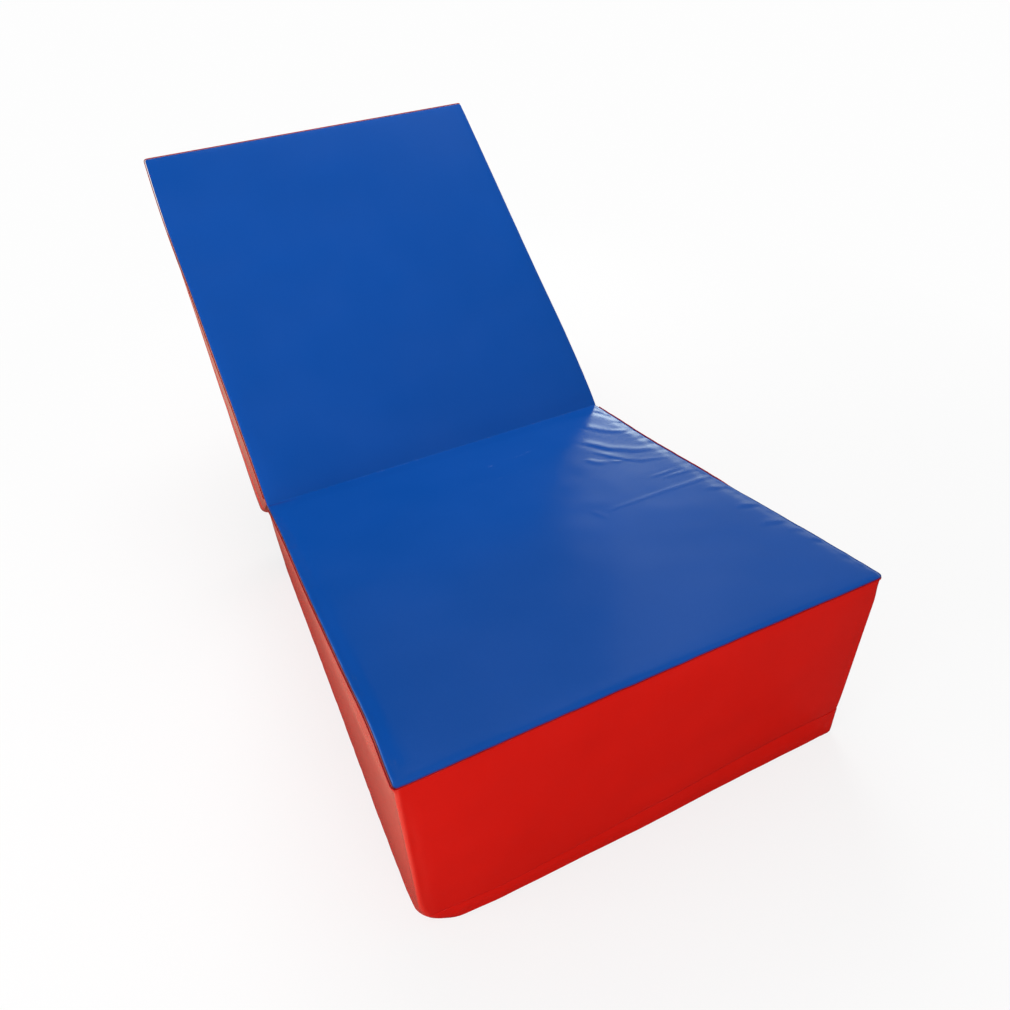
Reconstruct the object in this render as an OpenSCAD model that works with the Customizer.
// Folding incline wedge mat: a thick half and a thin half in sewn vinyl covers,
// joined along the top by a flexible fold. The origin is the centre of the thick
// half's base, +X is the width, +Y runs from the high end to the thin edge, +Z is up.
// The thin half is modelled lying flat, then raised about the fold line.

/* [Overall size] */
// Width of the mat, side to side
mat_w = 900; // [600:10:1200]
// Length of each half, measured along the floor
half_l = 1000; // [800:10:1300]
// Height of the thick half at its high end
high_h = 450; // [400:5:600]
// Height of both halves where they meet at the fold
fold_h = 230; // [200:5:260]
// Height of the thin half at its thin edge
tip_h = 10; // [10:0.5:14]

/* [Fold] */
// Angle that the thin half is raised from lying flat, in the rest position
fold_rest = 47; // [0:1:170]
// Gap between the two end faces when the mat lies flat
end_gap = 4; // [4:0.5:8]
// Height of the fold line above the blue surface
fold_rise = 3; // [3:0.5:5]
// Width of the webbing sewn under each side of the fold
web_w = 40; // [20:1:60]

/* [Cover] */
// Thickness of the coated vinyl sheet
vinyl_t = 1.5; // [1:0.1:2]
// Radius of the upright corners at the high end
corner_r = 25; // [12:1:60]
// Radius of the corners at the thin edge
tip_corner_r = 8; // [6:1:30]
// Height that the base sheet is turned up around the sides
band_h = 62; // [58:1:80]
// Height of the turned-up band at the thin edge
tip_band_h = 5; // [3.5:0.5:6]
// How far the edge welt stands out of the side
welt_out = 1.6; // [1:0.1:2]
// How far the edge welt stands above the blue surface
welt_up = 1.2; // [0.5:0.1:1.5]
// Depth of the edge welt down the side
welt_down = 4; // [3:0.5:5]

/* [Foam] */
// Thickness of the firm slab under the thick half's core
slab_t = 50; // [20:1:52]
// Thickness of the dense layer under the blue surface
layer_t = 30; // [15:1:40]
// Corner radius of the firm slab, which lets the cover draw in at the floor
slab_corner_r = 80; // [30:1:120]
// How far the firm slab stays back from the sides, which lets the cover draw in at the floor
slab_back = 8; // [0:0.5:15]
// How far the dense layer stays back from the sides, which lets the edge roll over
layer_back = 10; // [2:0.5:20]
// Play between the foam and its cover
foam_play = 4; // [1:0.5:5]

/* [Zips] */
// Distance from each end of the zip to the side of the mat
zip_margin = 50; // [40:5:120]
// Depth of the recess that the zip lies in
recess_d = 11; // [11:0.5:16]
// Height of the recess that the zip lies in
recess_h = 22; // [20:1:30]
// Radius of one zip coil
coil_r = 1.5; // [1.2:0.05:1.5]
// Length of the pull tab
tab_l = 30; // [20:1:34]

/* [Hidden] */
$fn = 64;

blue_vinyl = [0.05, 0.27, 0.62];
red_vinyl = [0.76, 0.07, 0.04];
pale_foam = [0.88, 0.88, 0.84];
firm_foam = [0.55, 0.58, 0.62];
webbing = [0.10, 0.12, 0.20];
tape_red = [0.45, 0.05, 0.05];
metal = [0.70, 0.70, 0.72];

// Places along the mat, with the thin half lying flat
y_fold = half_l/2;
z_fold = fold_h + fold_rise;
y_high = -half_l/2;                 // high end
y_thick_end = y_fold - end_gap/2;   // thick half's end face
y_thin_end = y_fold + end_gap/2;    // thin half's end face
y_tip = y_fold + half_l;            // thin edge
thick_len = y_thick_end - y_high;
thin_len = y_tip - y_thin_end;
thick_slope = (high_h - fold_h)/half_l;
thin_slope = (fold_h - tip_h)/half_l;

// Layers, with depths measured down from the blue surface
web_t = 1.2;
web_depth = vinyl_t + 2.5;
layer_top = web_depth + web_t + 0.5;
layer_bottom = layer_top + layer_t;
foam_gap = 0.2;                     // between neighbouring foam pieces
core_top = layer_bottom + foam_gap;
foam_inset = vinyl_t + foam_play;
slab_z = vinyl_t + 0.3;
seam_gap = 0.1;                     // between an end panel and its neighbours

// Cutting shapes run past the piece by these amounts
cut_half_w = mat_w/2 + 20;
overrun = 5;

// Zip recess, drawn behind an end face at y = 0
recess_l = mat_w - 2*zip_margin + 24;
recess_top = band_h + recess_h;

// Height of the sloping top at y
function top_z(y) =
    y <= y_fold ? fold_h + (y_fold - y)*thick_slope : fold_h - (y - y_fold)*thin_slope;

// Height of the thin half's band seam at y
function seam_z(y) = tip_band_h + (band_h - tip_band_h)*(y_tip - y)/thin_len;

// Range reaching the same distance to each side of a middle
function about(middle, reach) = [middle - reach, middle + reach];

// ---- shared shapes ----
// Box between a pair of limits on each axis, in either order
module bar(xs, ys, zs) {
    translate([min(xs), min(ys), min(zs)])
        cube([abs(xs[1] - xs[0]), abs(ys[1] - ys[0]), abs(zs[1] - zs[0])]);
}

// Plan of a half: a rounded end at y = 0 and a square end at y = length.
// grow moves the sides and the rounded end out, end_grow moves the square end out.
module plan(length, radius, grow, end_grow) {
    inset = max(radius, 1 - grow);
    translate([-mat_w/2 - grow, inset])
        square([mat_w + 2*grow, length - inset + end_grow]);
    translate([-mat_w/2 + inset, -grow])
        square([mat_w - 2*inset, inset + grow + 1]);
    for (side = [-1, 1])
        translate([side*(mat_w/2 - inset), inset]) circle(r = inset + grow);
}
module thick_plan(grow, end_grow, radius = corner_r) {
    translate([0, y_high]) plan(thick_len, radius, grow, end_grow);
}
module thin_plan(grow, end_grow) {
    translate([0, y_tip]) mirror([0, 1]) plan(thin_len, tip_corner_r, grow, end_grow);
}

// Upright wall between an outer plan (first child) and an inner plan (second child)
module wall(height) {
    difference() {
        linear_extrude(height) children(0);
        translate([0, 0, -1]) linear_extrude(height + 10) children(1);
    }
}

// Side profile of [y, z] points, run across the width
module across(points) {
    rotate([90, 0, 90]) translate([0, 0, -cut_half_w])
        linear_extrude(2*cut_half_w) polygon(points);
}
// Space between two depths under the sloping top
module sloping(y0, y1, deep, shallow) {
    across([
        [y0, top_z(y0) - deep],
        [y1, top_z(y1) - deep],
        [y1, top_z(y1) - shallow],
        [y0, top_z(y0) - shallow]]);
}
// Space from a level bottom up to a depth under the sloping top
module level_to_slope(y0, y1, bottom, depth) {
    across([
        [y0, bottom],
        [y1, bottom],
        [y1, top_z(y1) - depth],
        [y0, top_z(y0) - depth]]);
}

// Raises the thin half about the fold line
module raised() {
    translate([0, y_fold, z_fold]) rotate([fold_rest, 0, 0])
        translate([0, -y_fold, -z_fold]) children();
}
// Places a shape drawn behind the plane y = 0 at each half's end face
module at_thick_end() {
    translate([0, y_thick_end, 0]) children();
}
module at_thin_end() {
    translate([0, y_thin_end, 0]) mirror([0, 1, 0]) children();
}

// End panel with the slot and turned-in lips of the zip recess
module end_sheet(top) {
    lip_y = [-recess_d, -vinyl_t];
    difference() {
        bar(about(0, mat_w/2 - vinyl_t), [-vinyl_t, 0], [band_h + seam_gap, top]);
        bar(about(0, recess_l/2), [-vinyl_t - 1, 1], [band_h - 1, recess_top]);
    }
    bar(about(0, recess_l/2), lip_y, [recess_top, recess_top + vinyl_t]);
    for (side = [-1, 1])
        bar([side*recess_l/2, side*(recess_l/2 + vinyl_t)], lip_y,
            [band_h + seam_gap, recess_top + vinyl_t]);
}
// Lip turned in from the band, along the bottom of the recess
module band_lip(top) {
    bar(about(0, recess_l/2), [-recess_d, -vinyl_t/2], [top - vinyl_t, top]);
}
// Space cleared in the foam around the recess
module zip_space(bottom) {
    bar(about(0, recess_l/2 + 6), [-recess_d - 8, 5], [bottom, recess_top + 6]);
}
// Webbing under the top, cut from a sloping sheet that runs past it
module hinge_web(ys, sheet_ys) {
    intersection() {
        bar(about(0, mat_w/2 - 12), ys, [0, high_h]);
        sloping(sheet_ys[0], sheet_ys[1], web_depth + web_t, web_depth);
    }
}

// ---- zip ----
zip_l = mat_w - 2*zip_margin;
zip_y = -recess_d + 1;              // middle of the tape
zip_z = band_h + recess_h/2;        // centre line
coil_slot = 0.6;                    // half the slot between the coils
tape_t = 1;
stop_half_t = 1.8;
stop_half_h = 3.5;
stop_gap = 0.2;                     // between a stop and the end of the coils
slider_x = -zip_l/2 + 40;           // slider stands at the closed end
slider_half_l = 13;
slider_half_h = 8;
plate_near = 2.6;                   // from the tape to a plate's inner face
plate_far = 4.4;                    // from the tape to a plate's outer face
pin_y = zip_y + 6.5;
lug_near = 3;                       // from the centre line to a lug's inner face
tab_half_t = 0.8;
tab_half_h = 4.8;
barrel_half_h = 2.6;

module zip_tapes() {
    for (side = [-1, 1])
        bar(about(0, recess_l/2 - 0.5), about(zip_y, tape_t/2),
            [zip_z + side*(coil_slot + 2*coil_r + 0.1), zip_z + side*(recess_h/2 - 0.1)]);
}
module zip_coils() {
    for (side = [-1, 1])
        translate([-zip_l/2, zip_y, zip_z + side*(coil_slot + coil_r)])
            rotate([0, 90, 0]) cylinder(r = coil_r, h = zip_l);
}
// One stop joins both coils at the closed end; the open end has one for each coil
module zip_stops() {
    stop_ys = about(zip_y, stop_half_t);
    bar([-zip_l/2 - 5, -zip_l/2 - stop_gap], stop_ys, about(zip_z, stop_half_h));
    for (side = [-1, 1])
        bar([zip_l/2 + stop_gap, zip_l/2 + 4.5], stop_ys,
            [zip_z + side*0.7, zip_z + side*stop_half_h]);
}
// Slider plate with clipped corners and two side rims; face is 1 outside, -1 inside
module slider_plate(face) {
    difference() {
        bar(about(0, slider_half_l), [zip_y + face*plate_near, zip_y + face*plate_far],
            about(zip_z, slider_half_h));
        for (side = [-1, 1])
            for (end = [-1, 1])
                translate([end*slider_half_l, zip_y, zip_z + side*slider_half_h])
                    rotate([0, 45, 0]) cube([4, 20, 4], center = true);
    }
    for (side = [-1, 1])
        bar(about(0, 10), [zip_y + face*plate_near, zip_y + face*0.9],
            [zip_z + side*6.4, zip_z + side*slider_half_h]);
}
module zip_slider() {
    translate([slider_x, 0, 0]) {
        slider_plate(1);
        slider_plate(-1);
        // Post joining the plates, between the coils
        bar(about(0, 4), about(zip_y, 2.8), about(zip_z, 0.4));
        // Lugs that hold the pull tab's pin
        for (side = [-1, 1])
            bar(about(0, 1.7), [zip_y + plate_far - 0.2, pin_y + 1.6],
                [zip_z + side*lug_near, zip_z + side*(lug_near + 1.2)]);
        translate([0, pin_y, zip_z - lug_near - 0.2])
            cylinder(r = 1, h = 2*(lug_near + 0.2));
    }
}
// Pull tab: a barrel on the pin, a narrow neck and a rounded tab with a hole
module zip_puller() {
    tab_ys = about(0, tab_half_t);
    translate([slider_x, pin_y, zip_z]) difference() {
        union() {
            translate([0, 0, -barrel_half_h]) cylinder(r = 1.9, h = 2*barrel_half_h);
            bar([0, 8], tab_ys, about(0, barrel_half_h));
            bar([7, tab_l], tab_ys, about(0, tab_half_h));
            translate([tab_l, tab_half_t, 0]) rotate([90, 0, 0])
                cylinder(r = tab_half_h, h = 2*tab_half_t);
        }
        translate([0, 0, -4]) cylinder(r = 1.06, h = 8);
        translate([tab_l, 2, 0]) rotate([90, 0, 0]) cylinder(r = 2.2, h = 4);
    }
}

// ---- thick half ----
module thick_top_panel() {
    color(blue_vinyl) intersection() {
        linear_extrude(high_h + 10) thick_plan(0, 0);
        sloping(y_high - overrun, y_thick_end + 0.5, vinyl_t, 0);
    }
}
module thick_side_wall() {
    color(red_vinyl) intersection() {
        wall(high_h + 10) {
            thick_plan(0, 0);
            thick_plan(-vinyl_t, 20);
        }
        level_to_slope(y_high - overrun, y_thick_end + 0.5, band_h, vinyl_t);
    }
}
module thick_end_panel() {
    color(red_vinyl) at_thick_end() end_sheet(top_z(y_thick_end) - vinyl_t - seam_gap);
}
module thick_base_tray() {
    color(red_vinyl) {
        difference() {
            linear_extrude(band_h) thick_plan(0, 0);
            translate([0, 0, vinyl_t]) linear_extrude(band_h) thick_plan(-vinyl_t, -vinyl_t);
        }
        at_thick_end() band_lip(band_h);
    }
}
module thick_top_welt() {
    color(red_vinyl) intersection() {
        wall(high_h + 20) {
            thick_plan(welt_out, 0);
            thick_plan(0, 20);
        }
        sloping(y_high - overrun, y_thick_end - 1, welt_down, -welt_up);
    }
}
module thick_foam_slab() {
    color(firm_foam) translate([0, 0, slab_z]) linear_extrude(slab_t)
        thick_plan(-foam_inset - slab_back, -recess_d - 1, slab_corner_r);
}
module thick_foam_core() {
    color(pale_foam) difference() {
        intersection() {
            linear_extrude(high_h + 10) thick_plan(-foam_inset, -foam_inset);
            level_to_slope(y_high - overrun, y_thick_end + 1,
                slab_z + slab_t + foam_gap, core_top);
        }
        at_thick_end() zip_space(slab_t - 10);
    }
}
module thick_foam_layer() {
    color(firm_foam) intersection() {
        linear_extrude(high_h + 10) thick_plan(-foam_inset - layer_back, -foam_inset);
        sloping(y_high - overrun, y_thick_end + 1, layer_bottom, layer_top);
    }
}
module thick_hinge_web() {
    color(webbing) hinge_web(
        [y_thick_end - web_w, y_thick_end - vinyl_t - 0.3],
        [y_thick_end - web_w - 10, y_thick_end + 1]);
}
// Flexible strip from the thick half's edge up to a bead along the fold line
module fold_strip() {
    edge_z = top_z(y_thick_end);
    color(blue_vinyl) difference() {
        union() {
            across([
                [y_thick_end, edge_z - 1.2],
                [y_fold + 0.7, z_fold - 0.6],
                [y_fold - 0.6, z_fold + 0.8],
                [y_thick_end, edge_z]]);
            translate([-cut_half_w, y_fold, z_fold]) rotate([0, 90, 0])
                cylinder(r = 1, h = 2*cut_half_w);
        }
        // Trim to the width of the mat
        for (side = [-1, 1])
            translate([side*(mat_w/2 + 100), y_fold, z_fold])
                cube([200, 40, 40], center = true);
    }
}
module thick_zip_tapes() { color(tape_red) at_thick_end() zip_tapes(); }
module thick_zip_coils() { color(tape_red) at_thick_end() zip_coils(); }
module thick_zip_stops() { color(metal) at_thick_end() zip_stops(); }
module thick_zip_slider() { color(metal) at_thick_end() zip_slider(); }
module thick_zip_puller() { color(metal) at_thick_end() zip_puller(); }

// ---- thin half ----
// The core stops where it has thinned to about core_edge_t;
// from there to the thin edge the dense layer fills the cover down to the base
thin_foam_z = vinyl_t + 1;
core_edge_t = 5;
y_core = y_tip - (layer_bottom + core_edge_t + thin_foam_z - tip_h)/thin_slope;

module thin_top_panel() {
    color(blue_vinyl) raised() intersection() {
        linear_extrude(fold_h + 10) thin_plan(0, 0);
        sloping(y_thin_end - 0.5, y_tip + overrun, vinyl_t, 0);
    }
}
module thin_side_wall() {
    y0 = y_thin_end;
    y1 = y_tip + 1;
    color(red_vinyl) raised() intersection() {
        wall(fold_h + 10) {
            thin_plan(0, 0);
            thin_plan(-vinyl_t, 20);
        }
        across([
            [y0, seam_z(y0)],
            [y1, seam_z(y1)],
            [y1, top_z(y1) - vinyl_t],
            [y0, top_z(y0) - vinyl_t]]);
    }
}
module thin_end_panel() {
    color(red_vinyl) raised() at_thin_end()
        end_sheet(top_z(y_thin_end + vinyl_t) - vinyl_t - seam_gap);
}
module thin_base_tray() {
    y0 = y_thin_end - 1;
    y1 = y_tip + overrun;
    color(red_vinyl) raised() {
        intersection() {
            difference() {
                linear_extrude(band_h + 10) thin_plan(0, 0);
                translate([0, 0, vinyl_t]) linear_extrude(band_h + 20)
                    thin_plan(-vinyl_t, -vinyl_t);
            }
            across([[y0, 0], [y1, 0], [y1, seam_z(y1)], [y0, seam_z(y0)]]);
        }
        at_thin_end() band_lip(band_h - 0.2);
    }
}
module thin_top_welt() {
    color(red_vinyl) raised() intersection() {
        wall(fold_h + 20) {
            thin_plan(welt_out, 0);
            thin_plan(0, 20);
        }
        sloping(y_thin_end + 1, y_tip + overrun, welt_down, -welt_up);
    }
}
module thin_foam_core() {
    color(pale_foam) raised() difference() {
        intersection() {
            linear_extrude(fold_h + 10) thin_plan(-foam_inset, -foam_inset);
            level_to_slope(y_thin_end - 1, y_core - 0.5, thin_foam_z, core_top);
        }
        at_thin_end() zip_space(band_h - 14);
    }
}
module thin_foam_layer() {
    color(firm_foam) raised() intersection() {
        linear_extrude(fold_h + 10) thin_plan(-foam_inset - layer_back, -foam_inset);
        across([
            [y_thin_end, top_z(y_thin_end) - layer_bottom],
            [y_core, top_z(y_core) - layer_bottom],
            [y_core, thin_foam_z],
            [y_tip, thin_foam_z],
            [y_tip, top_z(y_tip) - layer_top],
            [y_thin_end, top_z(y_thin_end) - layer_top]]);
    }
}
module thin_hinge_web() {
    color(webbing) raised() hinge_web(
        [y_thin_end + vinyl_t + 0.3, y_thin_end + web_w],
        [y_thin_end, y_thin_end + web_w + 10]);
}
module thin_zip_tapes() { color(tape_red) raised() at_thin_end() zip_tapes(); }
module thin_zip_coils() { color(tape_red) raised() at_thin_end() zip_coils(); }
module thin_zip_stops() { color(metal) raised() at_thin_end() zip_stops(); }
module thin_zip_slider() { color(metal) raised() at_thin_end() zip_slider(); }
module thin_zip_puller() { color(metal) raised() at_thin_end() zip_puller(); }

thick_top_panel();
thick_side_wall();
thick_end_panel();
thick_base_tray();
thick_top_welt();
thick_foam_slab();
thick_foam_core();
thick_foam_layer();
thick_hinge_web();
fold_strip();
thick_zip_tapes();
thick_zip_coils();
thick_zip_stops();
thick_zip_slider();
thick_zip_puller();
thin_top_panel();
thin_side_wall();
thin_end_panel();
thin_base_tray();
thin_top_welt();
thin_foam_core();
thin_foam_layer();
thin_hinge_web();
thin_zip_tapes();
thin_zip_coils();
thin_zip_stops();
thin_zip_slider();
thin_zip_puller();
